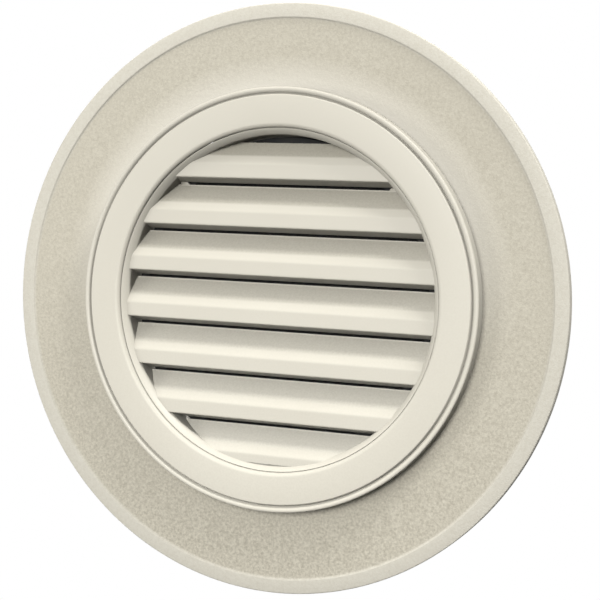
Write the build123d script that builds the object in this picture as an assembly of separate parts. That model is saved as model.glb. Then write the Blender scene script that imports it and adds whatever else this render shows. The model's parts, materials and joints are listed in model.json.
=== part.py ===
from build123d import *
import math
import os

# Round gable vent, in millimetres.
# The wall face is the plane Y = 0, the front looks towards -Y, +Z is up and the vent's axis is Y.
# A "height" stands out of the wall towards the front, and a "depth" runs back into the wall.

# Shared fits
seam_gap = 0.5
seat_gap = 0.3
weld = 0.5
overrun = 5.0

# Surround: the wide outer moulding, a flat field inside a raised rim
field_width = 82.2
field_height = 6.0
rim_width = 18.4
rim_height = 12.0
rim_wall = 3.0
rim_bevel = 2.4
rim_slope = 3.0
lip_overlap = 8.0
surround_rib_count = 12
surround_rib_thickness = 2.0

# Trim ring: the smooth clipped-on ring over the joint
trim_width = 48.0
trim_height = 25.5
trim_wall = 2.4
trim_bevel = 2.8
trim_lip_height = 5.5
groove_width = 3.6
groove_depth = 2.6
bead_width = 5.2
bead_drop = 0.3
bead_bevel_share = 0.6

# Snaps between trim ring and collar
snap_count = 6
catch_height = 8.6
catch_reach = 2.0
catch_land = 2.0
catch_ramp = 2.8
catch_width = 24.0
hook_width = 20.0
hook_barb = 1.9
hook_barb_height = 2.8
hook_lead = 1.2
hook_clearance = 0.4
catch_foot = 1.5
window_width = 26.0
window_margin = 1.2

# Vent body: flange, collar with its bevel, louvres and barrel in one moulding
opening_diameter = 398.0
body_wall = 2.5
bevel_width = 7.5
bevel_depth = 10.0
collar_height = 21.0
flange_thickness = 3.0
flange_clearance = 1.6
barrel_depth = 32.0
neck_wall = 3.0
neck_draft = 1.0

# Nail holes in the flange, under the trim ring
nail_count = 4
nail_hole_diameter = 4.8
nail_margin = 15.0

# Louvres
louvre_pitch = 58.28
louvre_depth = 22.0
louvre_wall = 2.4
nose_setback = 6.6
nose_face = 17.5
nose_round = 1.2
chamfer_rise = 12.2
chamfer_depth = 6.0
hood_drop = 6.0
slot_height = 2.9
web_count = 3
web_spacing = 110.0
web_thickness = 2.0

# Insect screen and the pegs that hold it behind the louvres
screen_depth = 14.0
screen_thickness = 1.0
screen_clearance = 1.5
screen_border = 12.0
screen_mesh_pitch = 60.0
screen_thread = 2.5
screen_edge_share = 0.25
post_count = 4
post_width = 8.0
peg_width = 3.6
peg_clearance = 0.3
peg_head_width = 6.8
peg_head_thickness = 1.6

# Radii worked out from the sizes above, from the opening outwards
opening_radius = opening_diameter / 2
barrel_radius = opening_radius + body_wall
neck_radius = opening_radius + neck_wall
neck_foot_radius = neck_radius + neck_draft
collar_radius = opening_radius + bevel_width
trim_inner_radius = collar_radius + seam_gap
leg_radius = collar_radius + catch_reach + hook_clearance
leg_outer_radius = leg_radius + trim_wall
trim_radius = trim_inner_radius + trim_width
skirt_inner_radius = trim_radius - trim_wall
flange_radius = skirt_inner_radius - flange_clearance
lip_radius = flange_radius - lip_overlap
nail_radius = lip_radius - nail_margin
field_radius = trim_radius + field_width
rim_radius = field_radius + rim_width
screen_radius = opening_radius - screen_clearance
post_radius = screen_radius - screen_border / 2

# Heights worked out from the sizes above
nose_height = collar_height - nose_setback
bevel_foot_height = collar_height - bevel_depth
bevel_slope = bevel_depth / bevel_width
bevel_drop = body_wall * math.hypot(1, bevel_slope)
groove_floor = trim_height - groove_depth
bead_height = groove_depth - bead_drop


def ring(outline):
    """Revolve a closed outline of (radius, height) points about the vent's axis."""
    points = [(radius, -height) for radius, height in outline]
    return revolve(make_face(Polyline(*points, close=True).edges()), Axis.Y)


def ring_segment(outline, arc):
    """Revolve an outline of (radius, height) points through an arc in degrees, centred on +X."""
    points = [(radius, -height) for radius, height in outline]
    face = make_face(Polyline(*points, close=True).edges())
    return Rot(0, -arc / 2, 0) * revolve(face, Axis.Y, revolution_arc=arc)


def arc_of(width, radius):
    """The arc in degrees that a width takes up at a radius."""
    return math.degrees(width / radius)


def block(inner, outer, low, high, width):
    """A block on +X between two radii and two heights, as wide as asked."""
    shape = Box(outer - inner, high - low, width)
    return Pos((inner + outer) / 2, -(low + high) / 2, 0) * shape


def around(shape, count, start_share=0.0):
    """Copies of a shape spread evenly round the axis, turned by a share of one step."""
    step = 360 / count
    return [Rot(0, step * (index + start_share), 0) * shape for index in range(count)]


def rim_face(height):
    """Radius of the rim's sloped inner face at a height."""
    return field_radius + rim_slope * (height - field_height) / (rim_height - field_height)


def make_surround():
    back = flange_thickness
    slope_wall = rim_wall * math.hypot(1, rim_slope / (rim_height - field_height))
    cavity_radius = rim_radius - rim_wall
    cavity_top = rim_height - rim_wall
    cavity_top_inner = rim_face(cavity_top) + slope_wall
    cavity_foot_inner = rim_face(back) + slope_wall
    body = ring([
        (lip_radius, back),
        (lip_radius, field_height),
        (field_radius, field_height),
        (field_radius + rim_slope, rim_height),
        (rim_radius - rim_bevel, rim_height),
        (rim_radius, rim_height - rim_bevel),
        (rim_radius, 0),
        (cavity_radius, 0),
        (cavity_radius, cavity_top),
        (cavity_top_inner, cavity_top),
        (cavity_foot_inner, back),
    ])
    rib_inner = flange_radius + flange_clearance
    rib_outline = Polyline(
        (rib_inner, 0),
        (rib_inner, -back - weld),
        (cavity_foot_inner - weld, -back - weld),
        (cavity_top_inner - weld, -cavity_top - weld),
        (cavity_radius + weld, -cavity_top - weld),
        (cavity_radius + weld, 0),
        close=True,
    )
    rib = extrude(make_face(rib_outline.edges()), surround_rib_thickness / 2, both=True)
    return body + around(rib, surround_rib_count)


def make_trim_ring():
    bead_inner = trim_radius - bead_width
    groove_radius = bead_inner - groove_width / 2
    face_outer = bead_inner - groove_width
    bead_top = groove_floor + bead_height
    lip_bottom = trim_height - trim_lip_height
    face_back = trim_height - trim_wall
    groove_back = face_back - 2 * trim_wall
    skirt_foot = field_height + seat_gap
    bead_bevel = bead_bevel_share * min(bead_height, bead_width / 2)
    barb_radius = leg_radius - hook_barb
    barb_top = catch_height - seat_gap
    barb_bottom = barb_top - hook_barb_height
    body = ring([
        (trim_inner_radius, lip_bottom),
        (trim_inner_radius, trim_height - trim_bevel),
        (trim_inner_radius + trim_bevel, trim_height),
        (face_outer, trim_height),
        (groove_radius, groove_floor),
        (bead_inner, bead_top),
        (trim_radius - bead_bevel, bead_top),
        (trim_radius, bead_top - bead_bevel),
        (trim_radius, skirt_foot),
        (skirt_inner_radius, skirt_foot),
        (skirt_inner_radius, groove_back),
        (face_outer - 2 * trim_wall, face_back),
        (leg_outer_radius, face_back),
        (leg_outer_radius, barb_bottom),
        (leg_radius, barb_bottom),
        (barb_radius, barb_bottom + hook_lead),
        (barb_radius, barb_top),
        (leg_radius, barb_top),
        (leg_radius, lip_bottom),
    ])
    # The leg is cut away between the hooks, which leaves them as springs under the lip
    gap_arc = 360 / snap_count - arc_of(hook_width, leg_radius)
    gap = ring_segment([
        (barb_radius - weld, barb_bottom - overrun),
        (leg_outer_radius + weld, barb_bottom - overrun),
        (leg_outer_radius + weld, lip_bottom),
        (barb_radius - weld, lip_bottom),
    ], gap_arc)
    return body - around(gap, snap_count, 0.5)


def bevel_height(radius):
    """Height of the bevel's face at a radius."""
    return bevel_foot_height + (radius - opening_radius) * bevel_slope


def make_shell():
    """Collar, bevel, neck, flange and barrel, as one revolved wall."""
    return ring([
        (collar_radius, collar_height),
        (opening_radius, bevel_foot_height),
        (opening_radius, -barrel_depth),
        (barrel_radius, -barrel_depth),
        (barrel_radius, 0),
        (flange_radius, 0),
        (flange_radius, flange_thickness),
        (neck_foot_radius, flange_thickness),
        (neck_radius, bevel_height(neck_radius) - bevel_drop),
        (collar_radius, bevel_height(collar_radius) - bevel_drop),
    ])


def make_louvre(nose_bottom):
    """One louvre right across: hood, nose, chamfer and rising floor, with webs in its hollow back."""
    floor_rise = louvre_pitch - nose_face - chamfer_rise - hood_drop - slot_height
    nose_y = -nose_height
    back_y = nose_y + louvre_depth
    nose_top = nose_bottom + nose_face
    chamfer_top = nose_top + chamfer_rise
    front = [
        (back_y, nose_bottom - hood_drop),
        (nose_y, nose_bottom),
        (nose_y, nose_top),
        (nose_y + chamfer_depth, chamfer_top),
        (back_y, chamfer_top + floor_rise),
    ]
    wall = offset(Polyline(*front), louvre_wall, kind=Kind.INTERSECTION, side=Side.RIGHT)
    section = make_face(wall.edges())
    noses = [section.vertices().sort_by_distance(point)[0] for point in front[1:3]]
    section = Plane.YZ * fillet(noses, nose_round)
    blade = extrude(section, collar_radius, both=True)
    web_inset = louvre_wall / 2
    web_outline = Polyline(
        (back_y, nose_bottom - hood_drop + web_inset),
        (nose_y + web_inset, nose_bottom + web_inset),
        (nose_y + web_inset, nose_top),
        (nose_y + chamfer_depth + web_inset, chamfer_top),
        (back_y, chamfer_top + floor_rise - web_inset),
        close=True,
    )
    web = extrude(Plane.YZ * make_face(web_outline.edges()), web_thickness / 2, both=True)
    middle = (web_count - 1) / 2
    webs = [Pos(web_spacing * (index - middle), 0, 0) * web for index in range(web_count)]
    return blade + webs


def make_louvres():
    """Every louvre that fits the round opening, trimmed to its bevel and wall."""
    throat = ring([
        (0, -barrel_depth),
        (opening_radius + weld, -barrel_depth),
        (opening_radius + weld, bevel_foot_height),
        (collar_radius + weld, collar_height),
        (0, collar_height),
    ])
    reach = math.ceil(opening_radius / louvre_pitch)
    chamfer_top = nose_face + chamfer_rise
    louvres = []
    for step in range(-reach - 1, reach + 1):
        nose_bottom = louvre_pitch * (step + 0.5)
        if abs(nose_bottom + chamfer_top) < opening_radius:
            louvres.append(make_louvre(nose_bottom) & throat)
    return louvres


def make_catch():
    """A ramped lug outside the bevel that a hook of the trim ring clips under, on a short foot."""
    root_radius = neck_radius - weld
    foot_radius = neck_foot_radius + catch_foot
    ramp_top = catch_height + catch_land + catch_ramp
    return ring_segment([
        (root_radius, flange_thickness - weld),
        (foot_radius, flange_thickness - weld),
        (foot_radius, catch_height),
        (collar_radius + catch_reach, catch_height),
        (collar_radius + catch_reach, catch_height + catch_land),
        (collar_radius, ramp_top),
        (neck_radius, bevel_height(neck_radius) - bevel_drop / 2),
        (root_radius, bevel_foot_height - body_wall),
    ], arc_of(catch_width, collar_radius))


def make_window():
    """The tool window in the flange under a catch."""
    top = (flange_thickness + catch_height) / 2
    inner = neck_foot_radius + catch_foot
    return block(inner, leg_outer_radius + window_margin, -overrun, top, window_width)


def make_nail_hole():
    bar = Cylinder(nail_hole_diameter / 2, flange_thickness + 2 * overrun)
    return Pos(nail_radius, -flange_thickness / 2, 0) * Rot(90, 0, 0) * bar


def make_post():
    """A post on the barrel's wall, with a square peg and its staked head for the screen."""
    post_top = nose_height - louvre_depth - louvre_wall
    screen_back = -screen_depth - screen_thickness
    inner = post_radius - post_width / 2
    peg_inner = post_radius - peg_width / 2
    peg_outer = post_radius + peg_width / 2
    head_inner = post_radius - peg_head_width / 2
    head_outer = post_radius + peg_head_width / 2
    post = block(inner, opening_radius + weld, -screen_depth, post_top, post_width)
    peg = block(peg_inner, peg_outer, screen_back - weld, -screen_depth + weld, peg_width)
    head = block(head_inner, head_outer, screen_back - peg_head_thickness, screen_back, peg_head_width)
    return post + peg + head


def make_vent_body():
    body = make_shell() + make_louvres()
    body += around(make_catch(), snap_count) + around(make_post(), post_count, 0.5)
    return body - around(make_window(), snap_count) - around(make_nail_hole(), nail_count, 0.5)


def make_insect_screen():
    """A border ring with coarse crossing ridges, standing for the fine mesh."""
    inner = screen_radius - screen_border
    back = -screen_depth - screen_thickness
    disc = ring([(0, back), (screen_radius, back), (screen_radius, -screen_depth), (0, -screen_depth)])
    low = back - overrun
    high = -screen_depth + overrun
    gap_limit = ring([(0, low), (inner, low), (inner, high), (0, high)])
    reach = math.ceil(inner / screen_mesh_pitch) + 1
    cell = screen_mesh_pitch - screen_thread
    gap = block(-cell / 2, cell / 2, low, high, cell)
    gaps = []
    for column in range(-reach, reach + 1):
        for row in range(-reach, reach + 1):
            x = column * screen_mesh_pitch
            z = row * screen_mesh_pitch
            if math.hypot(x, z) < inner + cell * screen_edge_share:
                gaps.append(Pos(x, 0, z) * gap & gap_limit)
    hole_half = peg_width / 2 + peg_clearance
    hole = block(post_radius - hole_half, post_radius + hole_half, low, high, 2 * hole_half)
    return disc - gaps - around(hole, post_count, 0.5)


os.makedirs("parts", exist_ok=True)
export_step(make_surround(), "parts/surround.step")
export_step(make_trim_ring(), "parts/trim_ring.step")
export_step(make_vent_body(), "parts/vent_body.step")
export_step(make_insect_screen(), "parts/insect_screen.step")
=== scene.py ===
import json
import math

import bmesh
import bpy
from mathutils import Matrix, Vector, noise


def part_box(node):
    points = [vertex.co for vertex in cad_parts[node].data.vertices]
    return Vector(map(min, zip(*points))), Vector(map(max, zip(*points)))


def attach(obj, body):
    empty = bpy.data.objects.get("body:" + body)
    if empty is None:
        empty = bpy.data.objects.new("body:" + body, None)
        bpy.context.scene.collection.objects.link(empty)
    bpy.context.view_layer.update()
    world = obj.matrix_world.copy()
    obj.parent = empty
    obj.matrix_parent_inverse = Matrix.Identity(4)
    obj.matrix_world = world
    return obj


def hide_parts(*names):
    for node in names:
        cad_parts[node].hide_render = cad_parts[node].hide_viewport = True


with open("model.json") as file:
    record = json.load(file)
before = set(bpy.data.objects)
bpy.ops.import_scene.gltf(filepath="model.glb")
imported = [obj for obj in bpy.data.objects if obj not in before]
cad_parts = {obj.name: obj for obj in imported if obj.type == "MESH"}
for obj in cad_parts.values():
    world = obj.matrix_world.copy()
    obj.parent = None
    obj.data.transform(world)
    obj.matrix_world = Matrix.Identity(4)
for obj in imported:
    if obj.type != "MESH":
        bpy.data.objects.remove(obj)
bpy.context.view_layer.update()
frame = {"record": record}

# Everything is in metres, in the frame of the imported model: the wall face is Y = 0, the
# front looks towards -Y and the vent's axis is Y. A height stands out of the wall towards
# the front, so it is a length along -Y. A level is a length up the wall, along +Z.

FULL_TURN = math.tau
QUARTER_TURN = math.tau / 4
HALF_STEP = 0.5
MM_PER_METRE = 1000
MERGE = 1e-6
SHARP_EDGE = math.radians(32)
BLACK = (0, 0, 0, 1)
WHITE = (1, 1, 1, 1)

# Sizes read from the frame
surround_low, surround_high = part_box("surround")
trim_low, trim_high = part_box("trim_ring")
body_low, body_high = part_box("vent_body")
screen_low, screen_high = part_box("insect_screen")
rim_radius = min(surround_high.x, surround_high.z)
rim_height = -surround_low.y
trim_radius = min(trim_high.x, trim_high.z)
trim_height = -trim_low.y
flange_radius = min(body_high.x, body_high.z)
collar_height = -body_low.y
barrel_depth = body_high.y
screen_radius = min(screen_high.x, screen_high.z)
screen_front = -screen_low.y
screen_back = -screen_high.y
mounts = {mount["name"]: mount for mount in frame["record"]["mounts"]}
nail_circle = mounts["nail_circle"]["dims"]
nail_radius = nail_circle["pcd_mm"] / 2 / MM_PER_METRE
nail_hole_radius = nail_circle["hole_r_mm"] / MM_PER_METRE
barrel_radius = mounts["barrel"]["dims"]["r_mm"] / MM_PER_METRE

# Surround
rim_width = 0.0184
rim_wall = 0.003
rim_outer_round = 0.0015
rim_slope = 0.0018
rim_inner_round = 0.0006
rim_foot_round = 0.0010
rim_back_round = 0.0006
field_height = 0.006
field_rise = 0.0042
lip_overlap = 0.008
rib_count = 12
rib_thickness = 0.002
stipple_height = 0.00016
stipple_grain = 0.0026
stipple_fade = 0.004

# Trim ring
trim_width = 0.048
trim_wall = 0.0024
trim_inner_round = 0.0052
trim_lip_height = 0.0055
groove_width = 0.0044
groove_depth = 0.0040
groove_edge_round = 0.0008
groove_foot_round = 0.0003
groove_margin = 2 * trim_wall
bead_width = 0.0052
bead_drop = 0.0001
bead_round = 0.0022
skirt_foot_round = 0.0004
seat_gap = 0.0003
inside_round = 0.0008

# Clips between trim ring and collar
clip_count = 6
catch_height = 0.0086
catch_reach = 0.002
catch_land = 0.002
catch_ramp = 0.0028
catch_width = 0.024
catch_foot = 0.0015
hook_width = 0.020
hook_barb = 0.0019
hook_barb_height = 0.0028
hook_lead = 0.0012
hook_clearance = 0.0004
window_width = 0.026
window_margin = 0.0012

# Vent body. A break share is the part of the bevel's width and depth at which it is broken.
seam_gap = 0.0003
body_wall = 0.0025
bevel_width = 0.0075
bevel_depth = 0.010
bevel_break_shares = (0.40, 0.55)
bevel_break_round = 0.003
collar_round = 0.0016
bevel_foot_round = 0.0009
barrel_end_round = 0.0006
flange_thickness = 0.003
flange_round = 0.0005
neck_wall = 0.003
neck_draft = 0.001

# Louvres
louvre_pitch = 0.0585
louvre_shift = -0.0006
louvre_depth = 0.022
louvre_wall = 0.0024
louvre_reach = 4
nose_setback = 0.0066
nose_face = 0.0175
nose_round = 0.0012
chamfer_rise = 0.0100
chamfer_depth = 0.0049
chamfer_round = 0.0008
hood_drop = 0.006
slot_height = 0.0034
floor_lip = 0.0014
top_gap = 0.0095
web_count = 3
web_spacing = 0.110
web_thickness = 0.002

# Insect screen and its posts
screen_border = 0.012
thread_pitch = 0.0017
thread_width = 0.00034
thread_anchor = 0.003
post_count = 4
post_width = 0.008
peg_width = 0.0036
peg_clearance = 0.0003
peg_head_width = 0.0068
peg_head_thickness = 0.0016
post_edge = 0.0005

# How far a shape is sunk into the one that it joins, and a cutter stands out of what it cuts
weld = 0.0005
overrun = 0.005

# Fineness of the meshes
ring_sectors = 24
ring_steps = 288
surround_steps = 864
field_rings = 44
segment_steps = 6
surround_round_steps = 5
trim_round_steps = 8
body_round_steps = 3
louvre_round_steps = 5
louvre_cuts = 9
long_edge = 2 * nose_round
block_edge_steps = 2
nail_hole_sides = 40

# Radii and heights worked out from the sizes above
trim_inner_radius = trim_radius - trim_width
collar_radius = trim_inner_radius - seam_gap
opening_radius = collar_radius - bevel_width
neck_radius = opening_radius + neck_wall
neck_foot_radius = neck_radius + neck_draft
catch_foot_radius = neck_foot_radius + catch_foot
leg_radius = collar_radius + catch_reach + hook_clearance
leg_outer_radius = leg_radius + trim_wall
skirt_inner_radius = trim_radius - trim_wall
lip_radius = flange_radius - lip_overlap
field_radius = rim_radius - rim_width
post_radius = screen_radius - screen_border / 2
screen_inner_radius = screen_radius - screen_border
nose_height = collar_height - nose_setback
bevel_foot_height = collar_height - bevel_depth
bevel_slope = bevel_depth / bevel_width
bevel_drop = body_wall * math.hypot(1, bevel_slope)
lip_bottom = trim_height - trim_lip_height
floor_rise = louvre_pitch - nose_face - chamfer_rise - hood_drop - slot_height
highest_floor = opening_radius - top_gap


# Modelling helpers

def angles_round(count, start_share=0.0):
    """Even angles round the axis, turned by a share of one step."""
    return [FULL_TURN * (index + start_share) / count for index in range(count)]


def corners_of(made):
    """The corners among the parts that an operation has made."""
    return [part for part in made["geom"] if isinstance(part, bmesh.types.BMVert)]


def round_corner(mesh, corner, rounding, steps):
    """Round one corner of a wire."""
    bmesh.ops.bevel(
        mesh, geom=[corner], offset=rounding, offset_type="OFFSET", segments=steps, profile=0.5,
        affect="VERTICES", material=-1,
    )


def new_wire(mesh, outline, round_steps=1):
    """Draw a closed outline of (radius, height, rounding) corners in the plane of axis and +X."""
    corners = [mesh.verts.new((radius, -height, 0)) for radius, height, _ in outline]
    for start, end in zip(corners, corners[1:] + corners[:1]):
        mesh.edges.new((start, end))
    for corner, (_, _, rounding) in zip(corners, outline):
        if rounding:
            round_corner(mesh, corner, rounding, round_steps)


def spin(mesh, parts, angle, steps):
    """Spin parts of a shape round the vent's axis."""
    bmesh.ops.spin(
        mesh, geom=parts, cent=(0, 0, 0), axis=(0, 1, 0), dvec=(0, 0, 0), angle=angle,
        steps=steps, use_merge=False,
    )


def spin_round(mesh, steps):
    """Spin all that is drawn so far through one sector, then repeat the sector right round."""
    spin(mesh, mesh.verts[:] + mesh.edges[:], FULL_TURN / ring_sectors, steps // ring_sectors)
    sector = mesh.verts[:] + mesh.edges[:] + mesh.faces[:]
    for angle in angles_round(ring_sectors)[1:]:
        copy = bmesh.ops.duplicate(mesh, geom=sector)
        turn = Matrix.Rotation(angle, 3, "Y")
        bmesh.ops.rotate(mesh, verts=corners_of(copy), cent=(0, 0, 0), matrix=turn)
    bmesh.ops.remove_doubles(mesh, verts=mesh.verts, dist=MERGE)


def add_segment(mesh, outline, arc, middle):
    """Spin a closed outline of (radius, height) corners through an arc about a middle angle."""
    turn = Matrix.Rotation(middle - arc / 2, 3, "Y")
    corners = [mesh.verts.new(turn @ Vector((radius, -height, 0))) for radius, height in outline]
    spin(mesh, [mesh.faces.new(corners)], arc, segment_steps)


def add_block(mesh, inner, outer, low, high, width, angle, edge=0.0):
    """A block between two radii and two heights, turned round the axis, with its edges broken."""
    place = Matrix.Rotation(angle, 4, "Y")
    place @= Matrix.Translation(((inner + outer) / 2, -(low + high) / 2, 0))
    place @= Matrix.Diagonal((outer - inner, high - low, width, 1))
    made = bmesh.ops.create_cube(mesh, size=1, matrix=place)
    if edge:
        edges = dict.fromkeys(one for corner in made["verts"] for one in corner.link_edges)
        bmesh.ops.bevel(
            mesh, geom=list(edges), offset=edge, offset_type="OFFSET", segments=block_edge_steps,
            profile=0.5, affect="EDGES", material=-1,
        )


def add_stud(mesh, half_width, low, high, angle, edge=0.0):
    """A square block on the circle of the screen's posts."""
    inner = post_radius - half_width
    outer = post_radius + half_width
    add_block(mesh, inner, outer, low, high, 2 * half_width, angle, edge)


def push_out(mesh, faces, way):
    """Thicken flat faces: copy them, shift the copy and wall up the sides."""
    grown = bmesh.ops.extrude_face_region(mesh, geom=faces, use_keep_orig=True)
    bmesh.ops.translate(mesh, verts=corners_of(grown), vec=way)


def add_plate(mesh, outline, thickness, angle):
    """A flat plate with an outline of (radius, height) corners, standing along a radius."""
    turn = Matrix.Rotation(angle, 3, "Y")
    near_side = [turn @ Vector((radius, -height, -thickness / 2)) for radius, height in outline]
    face = mesh.faces.new([mesh.verts.new(corner) for corner in near_side])
    push_out(mesh, [face], turn @ Vector((0, 0, thickness)))


def trim_levels(mesh, low, high):
    """Cut off what lies below one level and above another."""
    for level, direction in ((low, -1), (high, 1)):
        bmesh.ops.bisect_plane(
            mesh, geom=mesh.verts[:] + mesh.edges[:] + mesh.faces[:], plane_co=(0, 0, level),
            plane_no=(0, 0, direction), clear_outer=True,
        )


def join(mesh, other):
    """Add another shape's faces to this one and free the other."""
    data = bpy.data.meshes.new("joined")
    other.to_mesh(data)
    other.free()
    mesh.from_mesh(data)
    bpy.data.meshes.remove(data)


def to_mesh(mesh, name):
    """Close the seams, turn the faces outwards and store the result."""
    bmesh.ops.remove_doubles(mesh, verts=mesh.verts, dist=MERGE)
    bmesh.ops.recalc_face_normals(mesh, faces=mesh.faces)
    data = bpy.data.meshes.new(name)
    mesh.to_mesh(data)
    mesh.free()
    return data


def add_object(name, data):
    """Put a new object in the scene."""
    holder = bpy.data.objects.new(name, data)
    bpy.context.scene.collection.objects.link(holder)
    return holder


def cut_away(mesh, cutters, name):
    """Take the cutters' shapes out of a closed shape and give back the cut one."""
    blank = add_object(name + "_blank", to_mesh(mesh, name + "_blank"))
    tool = add_object(name + "_cutter", to_mesh(cutters, name + "_cutter"))
    cut = blank.modifiers.new("cut", "BOOLEAN")
    cut.operation = "DIFFERENCE"
    cut.solver = "EXACT"
    cut.object = tool
    evaluated = blank.evaluated_get(bpy.context.evaluated_depsgraph_get())
    result = bpy.data.meshes.new_from_object(evaluated)
    whole = bmesh.new()
    whole.from_mesh(result)
    for scratch in (blank, tool):
        data = scratch.data
        bpy.data.objects.remove(scratch)
        bpy.data.meshes.remove(data)
    bpy.data.meshes.remove(result)
    return whole


def finish_piece(mesh, name, node, material):
    """Turn a finished shape into the piece that stands for a node of the frame."""
    data = to_mesh(mesh, name)
    data.shade_smooth()
    data.set_sharp_from_angle(angle=SHARP_EDGE)
    data.materials.append(material)
    piece = add_object(name, data)
    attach(piece, "root")
    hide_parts(node)


# Materials. Colours are linear. A noise is its scale, detail and sometimes roughness, a span
# is the part of its values that is spread out, and a bump is its strength and distance.

plastic_ior = 1.46
noise_span = (0.3, 0.7)

smooth_flow = (7.0, 3.0)
smooth_speck = (420.0, 2.0)
smooth_grain = (900.0, 3.0)
smooth_bump = (0.12, 0.0002)
smooth_roughness = (0.42, 0.50)
# Painted light: by height, the satin plastic is painted darker at the top and paler at the bottom,
# as light falls
shaded_upper_colours = ((0.706, 0.669, 0.568), (0.729, 0.694, 0.591))
lit_lower_colours = ((0.848, 0.804, 0.682), (0.873, 0.832, 0.710))
painted_light_levels = (0.25, -0.25)
speck_colour = (0.748, 0.706, 0.592)
speck_span = (0.35, 0.75)
speck_share = 0.35
# Painted shade: the floors behind the louvres' chamfers are painted darker as recess shade, and
# darker again towards the top as the ring's shadow over the upper bays
recess_shade_colours = ((0.850, 0.812, 0.700), (0.790, 0.752, 0.640))
recess_shadow_colours = ((0.585, 0.550, 0.455), (0.530, 0.495, 0.402))
recess_grain_span = (0.35, 0.70)
recess_shadow_levels = (-0.17, 0.19)

field_flow = (6.0, 3.0)
field_mottle = (300.0, 5.0, 0.75)
field_grain = (520.0, 4.0, 0.65)
field_bump = (0.6, 0.0005)
field_roughness = (0.62, 0.74)
field_colours = ((0.692, 0.646, 0.526), (0.721, 0.677, 0.555))
worn_colour = (0.742, 0.695, 0.570)
hollow_colours = ((0.572, 0.528, 0.421), (0.465, 0.426, 0.333))
worn_levels = (0.05, -0.30)
mottle_span = (0.38, 0.68)
# Painted light: a paler band on the field above the trim ring, standing in for light bounced off
# the ring
painted_bounce_colour = (0.890, 0.845, 0.730)
painted_bounce_levels = (-0.05, 0.12)
painted_bounce_width = 0.040
painted_bounce_share = 0.9
rim_colours = ((0.770, 0.735, 0.630), (0.700, 0.660, 0.555))
rim_span = (0.40, 0.70)

screen_dust = (40.0, 4.0)
screen_dust_span = (0.35, 0.75)
screen_colours = ((0.020, 0.021, 0.021), (0.042, 0.041, 0.038))
screen_roughness = (0.55, 0.75)
screen_specular = 0.15
screen_grain = (1500.0, 2.0)
screen_bump = (0.2, 0.0001)


def link(tree, source, target):
    """Join an output of one node to an input of another."""
    tree.links.new(source, target)


def new_plastic(name):
    """A material with its shader and the object's own coordinates."""
    material = bpy.data.materials.new(name)
    material.use_nodes = True
    tree = material.node_tree
    shader = tree.nodes["Principled BSDF"]
    place = tree.nodes.new("ShaderNodeTexCoord")
    return material, tree, shader, place.outputs["Object"]


def split_axes(tree, place):
    """The X, Y and Z of a place, by name."""
    axes = tree.nodes.new("ShaderNodeSeparateXYZ")
    link(tree, place, axes.inputs[0])
    return axes.outputs


def add_distance(tree, place):
    """Distance from the vent's axis."""
    flat = tree.nodes.new("ShaderNodeVectorMath")
    flat.operation = "MULTIPLY"
    flat.inputs[1].default_value = (1, 0, 1)
    length = tree.nodes.new("ShaderNodeVectorMath")
    length.operation = "LENGTH"
    link(tree, place, flat.inputs[0])
    link(tree, flat.outputs["Vector"], length.inputs[0])
    return length.outputs["Value"]


def add_noise(tree, place, scale, detail, roughness=0.5):
    """A cloudy value about one half."""
    grain = tree.nodes.new("ShaderNodeTexNoise")
    grain.inputs["Scale"].default_value = scale
    grain.inputs["Detail"].default_value = detail
    grain.inputs["Roughness"].default_value = roughness
    link(tree, place, grain.inputs["Vector"])
    return grain.outputs["Fac"]


def add_range(tree, value, from_low, from_high, to_low=0, to_high=1):
    """Spread a value over another range, whose upper end may be the output of a node."""
    spread = tree.nodes.new("ShaderNodeMapRange")
    spread.inputs["From Min"].default_value = from_low
    spread.inputs["From Max"].default_value = from_high
    spread.inputs["To Min"].default_value = to_low
    if isinstance(to_high, bpy.types.NodeSocket):
        link(tree, to_high, spread.inputs["To Max"])
    else:
        spread.inputs["To Max"].default_value = to_high
    link(tree, value, spread.inputs["Value"])
    return spread.outputs["Result"]


def add_blend(tree, amount, first, second):
    """Blend two colours, each a colour or the output of another node."""
    blend = tree.nodes.new("ShaderNodeMix")
    blend.data_type = "RGBA"
    link(tree, amount, blend.inputs["Factor"])
    for colour, socket in ((first, blend.inputs["A"]), (second, blend.inputs["B"])):
        if isinstance(colour, bpy.types.NodeSocket):
            link(tree, colour, socket)
        else:
            socket.default_value = (*colour, 1)
    return blend.outputs["Result"]


def add_bump(tree, shader, height, strength, distance):
    """Roughen a shader's surface by a height."""
    bump = tree.nodes.new("ShaderNodeBump")
    bump.inputs["Strength"].default_value = strength
    bump.inputs["Distance"].default_value = distance
    link(tree, height, bump.inputs["Height"])
    link(tree, bump.outputs["Normal"], shader.inputs["Normal"])


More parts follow.
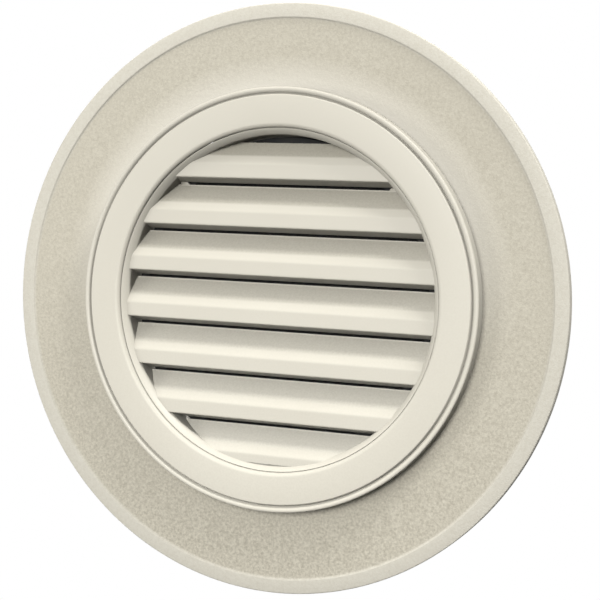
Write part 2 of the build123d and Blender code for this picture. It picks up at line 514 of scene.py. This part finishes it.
def make_smooth_cream():
    """Satin moulded plastic with a faint flow and a very fine grain, painted paler towards the
    bottom and darker towards the top as light and shade.

    Behind the louvres' chamfers it is painted darker as recess shade, and darker still in the
    upper bays as painted shadow of the ring.
    """
    material, tree, shader, place = new_plastic("smooth_cream_plastic")
    flow = add_noise(tree, place, *smooth_flow)
    speck = add_noise(tree, place, *smooth_speck)
    axes = split_axes(tree, place)
    swirl = add_range(tree, flow, *noise_span)
    shaded_upper = add_blend(tree, swirl, *shaded_upper_colours)
    lit_lower = add_blend(tree, swirl, *lit_lower_colours)
    # painted light: the shaded top colour blends into the lit bottom colour by height
    cloud = add_blend(tree, add_range(tree, axes["Z"], *painted_light_levels), shaded_upper, lit_lower)
    specks = add_range(tree, speck, *speck_span, 0, speck_share)
    smooth = add_blend(tree, specks, cloud, speck_colour)
    grain = add_range(tree, speck, *recess_grain_span)
    recess_shade = add_blend(tree, grain, *recess_shade_colours)
    recess_shadow = add_blend(tree, grain, *recess_shadow_colours)
    # painted shade in the louvre bays, darkest towards the top
    painted_recess = add_blend(tree, add_range(tree, axes["Z"], *recess_shadow_levels), recess_shade, recess_shadow)
    floor_start = chamfer_depth - nose_height
    inside = add_range(tree, axes["Y"], floor_start - chamfer_round, floor_start + chamfer_round)
    link(tree, add_blend(tree, inside, smooth, painted_recess), shader.inputs["Base Color"])
    link(tree, add_range(tree, flow, *noise_span, *smooth_roughness), shader.inputs["Roughness"])
    shader.inputs["IOR"].default_value = plastic_ior
    add_bump(tree, shader, add_noise(tree, place, *smooth_grain), *smooth_bump)
    return material


def make_textured_cream():
    """The same plastic, matt, darker and mottled on the stippled field. The rim stays pale.

    The mottle is stronger towards the bottom, and the field above the ring is painted paler as
    light bounced off the ring.
    """
    material, tree, shader, place = new_plastic("textured_cream_plastic")
    flow = add_noise(tree, place, *field_flow)
    mottle = add_noise(tree, place, *field_mottle)
    distance = add_distance(tree, place)
    axes = split_axes(tree, place)
    cloud = add_blend(tree, add_range(tree, flow, *noise_span), *field_colours)
    worn = add_range(tree, axes["Z"], *worn_levels)
    pale = add_blend(tree, worn, cloud, worn_colour)
    dark = add_blend(tree, worn, *hollow_colours)
    mottled = add_blend(tree, add_range(tree, mottle, *mottle_span), pale, dark)
    # painted bounce light from the ring, on the upper field near it
    bounce_near_ring = add_range(tree, distance, trim_radius + painted_bounce_width, trim_radius, 0, painted_bounce_share)
    painted_bounce = add_range(tree, axes["Z"], *painted_bounce_levels, 0, bounce_near_ring)
    field = add_blend(tree, painted_bounce, mottled, painted_bounce_colour)
    rim = add_blend(tree, add_range(tree, mottle, *rim_span), *rim_colours)
    on_rim = add_range(tree, distance, field_radius - rim_slope, field_radius + rim_slope)
    link(tree, add_blend(tree, on_rim, field, rim), shader.inputs["Base Color"])
    link(tree, add_range(tree, mottle, *noise_span, *field_roughness), shader.inputs["Roughness"])
    shader.inputs["IOR"].default_value = plastic_ior
    add_bump(tree, shader, add_noise(tree, place, *field_grain), *field_bump)
    return material


def make_screen_grey():
    """Coated fibre threads, dark grey with a little dust in places."""
    material, tree, shader, place = new_plastic("screen_grey_fibre")
    dust = add_noise(tree, place, *screen_dust)
    tone = add_blend(tree, add_range(tree, dust, *screen_dust_span), *screen_colours)
    link(tree, tone, shader.inputs["Base Color"])
    link(tree, add_range(tree, dust, *noise_span, *screen_roughness), shader.inputs["Roughness"])
    shader.inputs["Specular IOR Level"].default_value = screen_specular
    add_bump(tree, shader, add_noise(tree, place, *screen_grain), *screen_bump)
    return material


# Pieces

def field_face(radius):
    """Height of the field, which rises gently from the trim ring to the rim."""
    return field_height + field_rise * max(radius - trim_radius, 0) / (field_radius - trim_radius)


def rim_face(height):
    """Radius of the line, from field to rim top, that the hollow behind the rim follows."""
    return field_radius + rim_slope * (height - field_height) / (rim_height - field_height)


def raise_stipple(mesh):
    """Lift and sink the field's front by a fine grain that dies out at the rim and the ring."""
    for corner in mesh.verts:
        radius = math.hypot(corner.co.x, corner.co.z)
        if abs(corner.co.y + field_face(radius)) > MERGE:
            continue
        inside = min(radius - trim_radius, field_radius - rim_foot_round - radius) / stipple_fade
        share = min(max(inside, 0), 1)
        corner.co.y += share * stipple_height * noise.noise(corner.co / stipple_grain)


def make_surround(material):
    """The wide outer moulding: a stippled field inside a raised, rounded rim, ribbed behind."""
    slope_wall = rim_wall * math.hypot(1, rim_slope / (rim_height - field_height))
    cavity_radius = rim_radius - rim_wall
    cavity_top = rim_height - rim_wall
    cavity_top_inner = rim_face(cavity_top) + slope_wall
    cavity_foot_inner = rim_face(flange_thickness) + slope_wall
    mesh = bmesh.new()
    new_wire(mesh, [
        (lip_radius, flange_thickness, 0),
        (lip_radius, field_height, rim_back_round),
        (trim_radius, field_height, 0),
        (field_radius, field_height + field_rise, rim_foot_round),
        (field_radius + rim_slope, rim_height, rim_inner_round),
        (rim_radius, rim_height, rim_outer_round),
        (rim_radius, 0, rim_back_round),
        (cavity_radius, 0, rim_back_round),
        (cavity_radius, cavity_top, inside_round),
        (cavity_top_inner, cavity_top, inside_round),
        (cavity_foot_inner, flange_thickness, rim_back_round),
    ], surround_round_steps)
    front_edges = [
        edge for edge in mesh.edges
        if all(-end.co.y > field_height - MERGE for end in edge.verts)
    ]
    field = max(front_edges, key=lambda edge: edge.calc_length())
    bmesh.ops.subdivide_edges(mesh, edges=[field], cuts=field_rings)
    spin_round(mesh, surround_steps)
    raise_stipple(mesh)
    rib = [
        (skirt_inner_radius, 0),
        (skirt_inner_radius, flange_thickness + weld),
        (cavity_foot_inner - weld, flange_thickness + weld),
        (cavity_top_inner - weld, cavity_top + weld),
        (cavity_radius + weld, cavity_top + weld),
        (cavity_radius + weld, 0),
    ]
    for angle in angles_round(rib_count):
        add_plate(mesh, rib, rib_thickness, angle)
    finish_piece(mesh, "surround_textured", "surround", material)


def make_trim_ring(material):
    """The smooth ring over the joint: rounded inner edge, V groove, bead and deep skirt."""
    bead_inner = trim_radius - bead_width
    groove_radius = bead_inner - groove_width / 2
    face_outer = bead_inner - groove_width
    groove_floor = trim_height - groove_depth
    face_back = trim_height - trim_wall
    groove_back = face_back - groove_margin
    skirt_foot = field_height + seat_gap
    bead_top = trim_height - bead_drop
    mesh = bmesh.new()
    new_wire(mesh, [
        (trim_inner_radius, lip_bottom, 0),
        (trim_inner_radius, trim_height, trim_inner_round),
        (face_outer, trim_height, groove_edge_round),
        (groove_radius, groove_floor, groove_foot_round),
        (bead_inner, bead_top, bead_round),
        (trim_radius, bead_top, bead_round),
        (trim_radius, skirt_foot, skirt_foot_round),
        (skirt_inner_radius, skirt_foot, skirt_foot_round),
        (skirt_inner_radius, groove_back, inside_round),
        (face_outer - groove_margin, face_back, inside_round),
        (leg_outer_radius, face_back, inside_round),
        (leg_outer_radius, lip_bottom, 0),
    ], trim_round_steps)
    spin_round(mesh, ring_steps)
    barb_radius = leg_radius - hook_barb
    barb_top = catch_height - seat_gap
    barb_bottom = barb_top - hook_barb_height
    hook = [
        (leg_outer_radius, lip_bottom + weld),
        (leg_outer_radius, barb_bottom),
        (leg_radius, barb_bottom),
        (barb_radius, barb_bottom + hook_lead),
        (barb_radius, barb_top),
        (leg_radius, barb_top),
        (leg_radius, lip_bottom + weld),
    ]
    for angle in angles_round(clip_count):
        add_segment(mesh, hook, hook_width / leg_radius, angle)
    finish_piece(mesh, "trim_ring_smooth", "trim_ring", material)


def bevel_height(radius):
    """Height, at a radius, of a straight line from the bevel's foot to its top."""
    return bevel_foot_height + (radius - opening_radius) * bevel_slope


def make_shell():
    """Collar, bevel, neck, flange and barrel as one wall, with its windows and nail holes cut."""
    break_radius = opening_radius + bevel_width * bevel_break_shares[0]
    break_height = bevel_foot_height + bevel_depth * bevel_break_shares[1]
    shell = bmesh.new()
    new_wire(shell, [
        (collar_radius, collar_height, collar_round),
        (break_radius, break_height, bevel_break_round),
        (opening_radius, bevel_foot_height, bevel_foot_round),
        (opening_radius, -barrel_depth, barrel_end_round),
        (barrel_radius, -barrel_depth, barrel_end_round),
        (barrel_radius, 0, 0),
        (flange_radius, 0, flange_round),
        (flange_radius, flange_thickness, flange_round),
        (neck_foot_radius, flange_thickness, flange_round),
        (neck_radius, bevel_height(neck_radius) - bevel_drop, 0),
        (collar_radius, bevel_height(collar_radius) - bevel_drop, 0),
    ], body_round_steps)
    spin_round(shell, ring_steps)
    cutters = bmesh.new()
    window_outer = leg_outer_radius + window_margin
    window_top = (flange_thickness + catch_height) / 2
    for angle in angles_round(clip_count):
        add_block(
            cutters, catch_foot_radius, window_outer, -overrun, window_top, window_width, angle,
        )
    for angle in angles_round(nail_circle["count"], HALF_STEP):
        place = Matrix.Rotation(angle, 4, "Y")
        place @= Matrix.Translation((nail_radius, -flange_thickness / 2, 0))
        place @= Matrix.Rotation(QUARTER_TURN, 4, "X")
        bmesh.ops.create_cone(
            cutters, cap_ends=True, segments=nail_hole_sides, radius1=nail_hole_radius,
            radius2=nail_hole_radius, depth=flange_thickness + 2 * overrun, matrix=place,
        )
    return cut_away(shell, cutters, "vent_shell")


def wall_radius(height):
    """Radius, a little inside the wall, at which a louvre's end is sunk."""
    if height < bevel_foot_height:
        return opening_radius + weld
    return opening_radius + (height - bevel_foot_height) / bevel_slope + weld


def louvre_corners(nose_bottom):
    """Section of one louvre as (Y, Z): hood, nose, chamfer, rising floor and small upright lip."""
    nose_y = -nose_height
    back_y = nose_y + louvre_depth
    chamfer_top = nose_bottom + nose_face + chamfer_rise
    return [
        (back_y, nose_bottom - hood_drop),
        (nose_y, nose_bottom),
        (nose_y, nose_bottom + nose_face),
        (nose_y + chamfer_depth, chamfer_top),
        (back_y, chamfer_top + floor_rise - floor_lip),
        (back_y, chamfer_top + floor_rise),
    ]


def add_webs(mesh, nose_bottom):
    """Upright webs in the louvre's hollow back, trimmed to the opening."""
    inset = louvre_wall / 2
    hood, nose, top, chamfer, back, _ = louvre_corners(nose_bottom)
    outline = [
        (hood[0], hood[1] + inset),
        (nose[0] + inset, nose[1] + inset),
        (top[0] + inset, top[1]),
        (chamfer[0] + inset, chamfer[1]),
        (back[0], back[1] - inset),
    ]
    for index in range(web_count):
        x = web_spacing * (index - (web_count - 1) / 2)
        reach = math.sqrt((opening_radius + weld) ** 2 - x ** 2)
        web = bmesh.new()
        web.faces.new([web.verts.new((x - web_thickness / 2, y, z)) for y, z in outline])
        trim_levels(web, -reach, min(reach, highest_floor - inset))
        if web.faces:
            push_out(web, web.faces[:], (web_thickness, 0, 0))
        join(mesh, web)


def make_louvre(nose_bottom):
    """One louvre as a folded wall across the opening, its ends sunk into bevel and barrel."""
    mesh = bmesh.new()
    corners = [mesh.verts.new((-opening_radius, y, z)) for y, z in louvre_corners(nose_bottom)]
    for start, end in zip(corners, corners[1:]):
        mesh.edges.new((start, end))
    for corner, rounding in zip(corners[1:4], (nose_round, nose_round, chamfer_round)):
        round_corner(mesh, corner, rounding, louvre_round_steps)
    long_edges = [edge for edge in mesh.edges if edge.calc_length() > long_edge]
    bmesh.ops.subdivide_edges(mesh, edges=long_edges, cuts=louvre_cuts)
    trim_levels(mesh, weld - opening_radius, highest_floor)
    run = bmesh.ops.extrude_edge_only(mesh, edges=mesh.edges[:])
    bmesh.ops.translate(mesh, verts=corners_of(run), vec=(2 * opening_radius, 0, 0))
    bmesh.ops.recalc_face_normals(mesh, faces=mesh.faces)
    front = max(mesh.faces, key=lambda face: abs(face.normal.y) * face.calc_area())
    thickness = louvre_wall if front.normal.y < 0 else -louvre_wall
    bmesh.ops.solidify(mesh, geom=mesh.faces[:], thickness=thickness)
    for corner in mesh.verts:
        reach = wall_radius(-corner.co.y)
        half_run = math.sqrt(max(reach ** 2 - corner.co.z ** 2, 0))
        corner.co.x = math.copysign(half_run, corner.co.x)
    add_webs(mesh, nose_bottom)
    return mesh


def add_louvres(mesh):
    """Louvres at an even pitch, wherever the chamfer's top lies inside the opening."""
    for step in range(-louvre_reach - 1, louvre_reach + 1):
        nose_bottom = louvre_pitch * (step + HALF_STEP) + louvre_shift
        if abs(nose_bottom + nose_face + chamfer_rise) < opening_radius:
            join(mesh, make_louvre(nose_bottom))


def add_catches(mesh):
    """Ramped catches under the collar, which the trim ring's hooks pass and hold on to."""
    root_radius = neck_radius - weld
    land_top = catch_height + catch_land
    catch = [
        (root_radius, flange_thickness - weld),
        (catch_foot_radius, flange_thickness - weld),
        (catch_foot_radius, catch_height),
        (collar_radius + catch_reach, catch_height),
        (collar_radius + catch_reach, land_top),
        (collar_radius, land_top + catch_ramp),
        (neck_radius, bevel_height(neck_radius) - bevel_drop / 2),
        (root_radius, bevel_foot_height - body_wall),
    ]
    for angle in angles_round(clip_count):
        add_segment(mesh, catch, catch_width / collar_radius, angle)


def add_posts(mesh):
    """Posts behind the louvres, each with a peg through the screen's border and a head on it."""
    inner = post_radius - post_width / 2
    outer = opening_radius + weld
    post_top = nose_height - louvre_depth - louvre_wall
    head_back = screen_back - peg_head_thickness
    for angle in angles_round(post_count, HALF_STEP):
        add_block(mesh, inner, outer, screen_front, post_top, post_width, angle, post_edge)
        add_stud(mesh, peg_width / 2, screen_back - weld, screen_front + weld, angle)
        add_stud(mesh, peg_head_width / 2, head_back, screen_back, angle, post_edge)


def make_vent_body(material):
    """The inner moulding: shell, louvres, catches and the posts that carry the screen."""
    mesh = make_shell()
    add_louvres(mesh)
    add_catches(mesh)
    add_posts(mesh)
    finish_piece(mesh, "vent_body_louvred", "vent_body", material)


def make_insect_screen(material):
    """A border ring with peg holes, and fine crossed threads stretched inside it."""
    border = bmesh.new()
    new_wire(border, [
        (screen_inner_radius, screen_front, 0),
        (screen_radius, screen_front, 0),
        (screen_radius, screen_back, 0),
        (screen_inner_radius, screen_back, 0),
    ])
    spin_round(border, ring_steps)
    cutters = bmesh.new()
    half_hole = peg_width / 2 + peg_clearance
    for angle in angles_round(post_count, HALF_STEP):
        add_stud(cutters, half_hole, screen_back - overrun, screen_front + overrun, angle)
    mesh = cut_away(border, cutters, "screen_border")
    middle = -(screen_front + screen_back) / 2
    reach = screen_inner_radius + thread_anchor
    count = int(screen_inner_radius / thread_pitch)
    for index in range(-count, count + 1):
        offset = index * thread_pitch
        half_run = math.sqrt(reach ** 2 - offset ** 2)
        for turn, layer in ((0, -1), (QUARTER_TURN, 1)):
            place = Matrix.Rotation(turn, 4, "Y")
            place @= Matrix.Translation((0, middle + layer * thread_width / 2, offset))
            place @= Matrix.Diagonal((2 * half_run, thread_width, thread_width, 1))
            bmesh.ops.create_cube(mesh, size=1, matrix=place)
    finish_piece(mesh, "insect_screen_woven", "insect_screen", material)


smooth_cream = make_smooth_cream()
textured_cream = make_textured_cream()
screen_grey = make_screen_grey()
make_surround(textured_cream)
make_trim_ring(smooth_cream)
make_vent_body(smooth_cream)
make_insect_screen(screen_grey)


# Stage: a black disc painted as the shade of the dark room behind the wall, the world's light,
# four lamps and the camera.
# Lamp powers are in watts, and the lens and sensor are in millimetres.

room_gap = 0.006
room_sides = 96
sky_axis = (-0.42, 0, 0.91)
sky_rise = (-0.05, 0.60)
sky_bottom = 0.0
sky_top = 0.45
sky_back = 0.15
sky_edge = (0.10, -0.02)
lamps = (
    {"name": "top_lamp", "place": (1.95, -0.62, 3.3), "power": 110.0, "size": 1.0},
    {"name": "front_lamp", "place": (0.10, -2.85, 0.52), "power": 50.0, "size": 1.2},
    {"name": "left_lamp", "place": (-2.6, -2.1, -0.1), "power": 20.0, "size": 1.0},
    {"name": "back_lamp", "place": (-1.2, 2.6, 2.2), "power": 120.0, "size": 2.0},
)
camera_azimuth = math.radians(21.72)
camera_elevation = math.radians(3.02)
camera_roll = math.radians(2.30)
camera_distance = 1.70814
camera_slide = (0.02995, 0.00037)
camera_lens = 85.08
sensor_width = 36.0


def add_larger(tree, first, second):
    """The larger of two values."""
    larger = tree.nodes.new("ShaderNodeMath")
    larger.operation = "MAXIMUM"
    link(tree, first, larger.inputs[0])
    link(tree, second, larger.inputs[1])
    return larger.outputs[0]


def show_mix(tree, output, share, first, second):
    """Show a first shader where the share is nothing and a second where it is one."""
    mix = tree.nodes.new("ShaderNodeMixShader")
    link(tree, share, mix.inputs[0])
    link(tree, first.outputs[0], mix.inputs[1])
    link(tree, second.outputs[0], mix.inputs[2])
    link(tree, mix.outputs[0], tree.nodes.new(output).inputs["Surface"])


def make_painted_dark_room():
    """A black disc behind the barrel, painted shade standing in for the dark room behind a wall;
    it casts no shadow, and it is clear from behind.
    """
    place = Matrix.Translation((0, barrel_depth + room_gap, 0))
    place @= Matrix.Rotation(QUARTER_TURN, 4, "X")
    mesh = bmesh.new()
    bmesh.ops.create_circle(
        mesh, cap_ends=True, segments=room_sides, radius=barrel_radius + room_gap, matrix=place,
    )
    data = bpy.data.meshes.new("dark_room")
    mesh.to_mesh(data)
    mesh.free()
    material = bpy.data.materials.new("dark_room")
    material.use_nodes = True
    tree = material.node_tree
    tree.nodes.clear()
    # Painted shade: black from the front, clear from behind
    side = tree.nodes.new("ShaderNodeNewGeometry")
    shade = tree.nodes.new("ShaderNodeBsdfDiffuse")
    shade.inputs["Color"].default_value = BLACK
    clear = tree.nodes.new("ShaderNodeBsdfTransparent")
    show_mix(tree, "ShaderNodeOutputMaterial", side.outputs["Backfacing"], shade, clear)
    data.materials.append(material)
    room = add_object("dark_room", data)
    room.visible_diffuse = False
    room.visible_shadow = False


def make_world():
    """A soft sky in front of the wall, bright above and dark below, and dim light behind it.

    The camera sees it white, directly or through a mirror or a pane.
    """
    world = bpy.data.worlds.new("studio")
    bpy.context.scene.world = world
    world.use_nodes = True
    tree = world.node_tree
    tree.nodes.clear()
    place = tree.nodes.new("ShaderNodeTexCoord").outputs["Generated"]
    rise = tree.nodes.new("ShaderNodeVectorMath")
    rise.operation = "DOT_PRODUCT"
    rise.inputs[1].default_value = sky_axis
    link(tree, place, rise.inputs[0])
    front = add_range(tree, rise.outputs["Value"], *sky_rise, sky_bottom, sky_top)
    strength = add_range(tree, split_axes(tree, place)["Y"], *sky_edge, sky_back, front)
    sky = tree.nodes.new("ShaderNodeBackground")
    sky.inputs["Color"].default_value = WHITE
    link(tree, strength, sky.inputs["Strength"])
    white = tree.nodes.new("ShaderNodeBackground")
    white.inputs["Color"].default_value = WHITE
    rays = tree.nodes.new("ShaderNodeLightPath").outputs
    seen = add_larger(tree, rays["Is Camera Ray"], rays["Is Glossy Ray"])
    seen = add_larger(tree, seen, rays["Is Transmission Ray"])
    show_mix(tree, "ShaderNodeOutputWorld", seen, sky, white)


def add_lamp(name, place, power, size):
    """A square soft lamp that looks at the middle of the vent."""
    lamp = bpy.data.lights.new(name, "AREA")
    lamp.energy = power
    lamp.size = size
    holder = add_object(name, lamp)
    holder.location = place
    holder.rotation_euler = (-Vector(place)).to_track_quat("-Z", "Y").to_euler()


def make_camera():
    """The photograph's viewpoint, worked out about the middle of the rim's front plane."""
    back = Vector((
        math.sin(camera_azimuth) * math.cos(camera_elevation),
        -math.cos(camera_azimuth) * math.cos(camera_elevation),
        math.sin(camera_elevation),
    ))
    level_right = (-back).cross(Vector((0, 0, 1))).normalized()
    level_up = level_right.cross(-back)
    right = math.cos(camera_roll) * level_right + math.sin(camera_roll) * level_up
    up = math.cos(camera_roll) * level_up - math.sin(camera_roll) * level_right
    target = Vector((0, -rim_height, 0))
    place = target + back * camera_distance + right * camera_slide[0] + up * camera_slide[1]
    camera = bpy.data.cameras.new("camera")
    camera.sensor_width = sensor_width
    camera.lens = camera_lens
    holder = add_object("camera", camera)
    turn = Matrix((right, up, back)).transposed()
    holder.matrix_world = Matrix.Translation(place) @ turn.to_4x4()
    bpy.context.scene.camera = holder


make_painted_dark_room()
make_world()
for lamp in lamps:
    add_lamp(**lamp)
make_camera()
bpy.context.scene.view_settings.view_transform = "Standard"
bpy.context.scene.cycles.diffuse_bounces = 0
